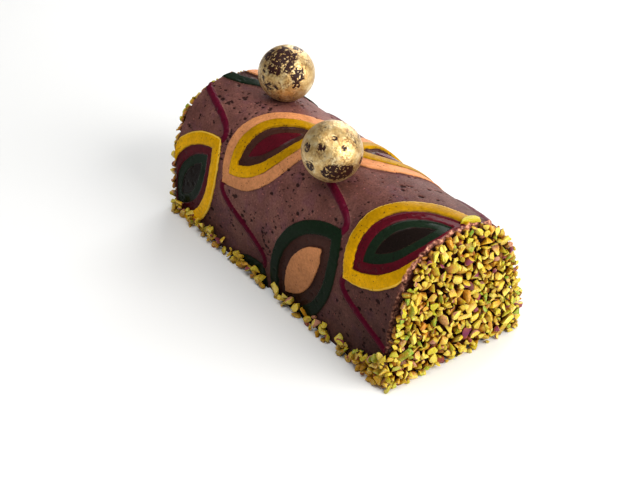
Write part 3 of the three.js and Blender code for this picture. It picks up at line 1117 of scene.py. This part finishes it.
# %% [markdown]
# ## Nuts along the foot
#
# A loose row of chopped nuts is pressed against each long side. They lie in clumps, one to three
# pieces high, with thin places between, so the chance of a piece follows a slow noise along the
# log. More gather at the front corners, where the heap climbs to twice its height.

# %% Dress the feet
FOOT_NUTS = 130
FOOT_HEIGHT = 10.0
# painted shade: the foot's nuts get less of it with depth than those in the coats
FOOT_PAINTED_SHADE = (-0.9, -0.1)  # these lie in the open, so none is as dark as in the coats
FOOT_DEPTH = CAKE_REACH - SIDE


def dress_foot(name, side, seed):
    """A row of nuts along one long side: side is 1 on the far one and -1 on the near one."""

    def highest(across, along):  # climbs in two steps to the front corner
        x = side * across
        return FOOT_HEIGHT + 3 * smooth_step(x, 68, 80) + 8 * smooth_step(x, 82, 92)

    reach_out = END + 4
    heap = Heap((-reach_out, 0), (reach_out, FOOT_DEPTH), highest, seed, FOOT_PAINTED_SHADE)

    def away(random, reach):
        out = 0.8 * reach[1] + abs(random.normal(0, 1.2))
        return min(out, FOOT_DEPTH - reach[1])

    def beside_foot(random, reach):
        while True:
            across = random.uniform(-END, END)
            plenty = 0.4 + 1.1 * smooth_noise(np.array([[across, 0.0, 0.0]]), 8, seed)[0]
            if random.random() < plenty:
                return across, away(random, reach)

    def at_corner(random, reach):
        across = side * (END + 2 - abs(random.normal(0, 7)))
        return across, away(random, reach)

    for _ in range(FOOT_NUTS):
        heap.drop(beside_foot, nut_size(heap.random, mean=4.3), tries=2)
    for _ in range(NUTS_AT_CORNER):
        heap.drop(at_corner, nut_size(heap.random, mean=5.0), tries=2)
    to_cake = ((side, 0, 0), (0, side, 0), (0, 0, 1))
    join_heap(name, heap, to_cake, (0, side * SIDE, 0), "log")


dress_foot("nuts_near_foot", -1, 103)
dress_foot("nuts_far_foot", 1, 104)

# %% [markdown]
# ## Gilded balls
#
# The balls are moulded dark chocolate, rubbed with gold leaf. Leaf is so thin that it wrinkles
# and tears, and chocolate shows through in ragged patches. A number on each point says how bare
# the chocolate is there, and the material sharpens it into torn edges.

# %% Make the balls
WRINKLE_ROOM = 0.14  # keeps the wrinkles within the ball's radius

gilt = Finish("gilded_chocolate")
ragged = gilt.math("MULTIPLY_ADD", gilt.noise(2.2, 8), 2.6, -1.3)
bare = gilt.span(gilt.math("ADD", gilt.stored("bare"), ragged), 0.0, 0.35)
flecks = gilt.clouds(1.3, 0.56, 0.6, detail=7)
bare = gilt.times(bare, gilt.math("SUBTRACT", 1.0, flecks))
golds = [(0.3, (180, 142, 80)), (0.5, (206, 174, 114)), (0.7, (224, 204, 156))]
leaf_colour = gilt.ramp(gilt.noise(3, 5), golds)
near_bare = gilt.span(gilt.stored("bare"), -0.6, 0.1)
grainy = gilt.math("MAXIMUM", gilt.clouds(7, 0.45, 0.6, detail=1), near_bare)
rubbed = gilt.times(grainy, gilt.clouds(1.0, 0.42, 0.62, 0, 0.85, detail=8))
leaf_colour = gilt.mix(rubbed, leaf_colour, (120, 78, 36))
leaf_roughness = gilt.clouds(0.9, 0.3, 0.7, 0.3, 0.56, detail=4)
gilt.surface({
    "Base Color": gilt.mix(bare, leaf_colour, (40, 15, 10)),
    "Specular IOR Level": 0.15,
    "Metallic": gilt.span(bare, 0, 1, 0.85, 0.0),
    "Roughness": gilt.span(bare, 0, 1, leaf_roughness, 0.45),
    "Coat Weight": gilt.span(bare, 0, 1, 0.3, 0.0),
    "Coat Roughness": 0.35,
    "Normal": gilt.bump(gilt.noise(1.1, 8), 0.32),
})


def gilded_ball(name, node, seed, patches, hold, wear):
    """A ball with bare patches: (right, up, size), as the camera sees them, in ball radii.

    The more they hold, the more solid the patches are, and wear adds specks all over.
    """
    form = bmesh.new()
    bmesh.ops.create_icosphere(form, subdivisions=6, radius=1.0)
    form.verts.index_update()
    ball = np.array([vert.co for vert in form.verts])
    triangles = [[vert.index for vert in face.verts] for face in form.faces]
    form.free()
    bare = wear + 0.5 * layered_noise(ball, 0.45, seed)
    for patch_right, patch_up, size in patches:
        depth_share = math.sqrt(max(1 - patch_right**2 - patch_up**2, 0))
        middle = np.array(right * patch_right + up * patch_up + back * depth_share)
        gap = np.linalg.norm(ball - middle, axis=1)
        bare = np.maximum(bare, hold * (1 - gap / size) + 0.3 * smooth_noise(ball, 0.2, seed + 9))
    wrinkles = 0.05 * layered_noise(ball, 0.22, seed + 20) - 0.08 * smooth_step(bare, -0.1, 0.1)
    points = ball_places[node] + ball * (BALL_RADIUS - WRINKLE_ROOM + wrinkles)[:, None]
    make_piece(name, points, triangles, [gilt], node, {"bare": bare})


rear_patches = [
    (-0.08, 0.5, 0.5), (-0.36, 0.1, 0.36), (0.1, 0.14, 0.26), (0.42, -0.16, 0.28),
    (0.36, -0.5, 0.16), (-0.55, 0.6, 0.3), (0.4, 0.8, 0.24),
]
front_patches = [
    (-0.04, -0.74, 0.34), (0.18, -0.76, 0.38), (0.4, -0.72, 0.34), (-0.34, 0.05, 0.15),
    (-0.8, 0.1, 0.16), (-0.72, -0.5, 0.2), (0.92, -0.3, 0.14), (0.07, 0.33, 0.1), (0.37, 0.03, 0.1),
]
gilded_ball("gilded_ball_rear", "ball_rear", 61, rear_patches, hold=2.0, wear=-0.35)
gilded_ball("gilded_ball_front", "ball_front", 71, front_patches, hold=3.4, wear=-0.5)
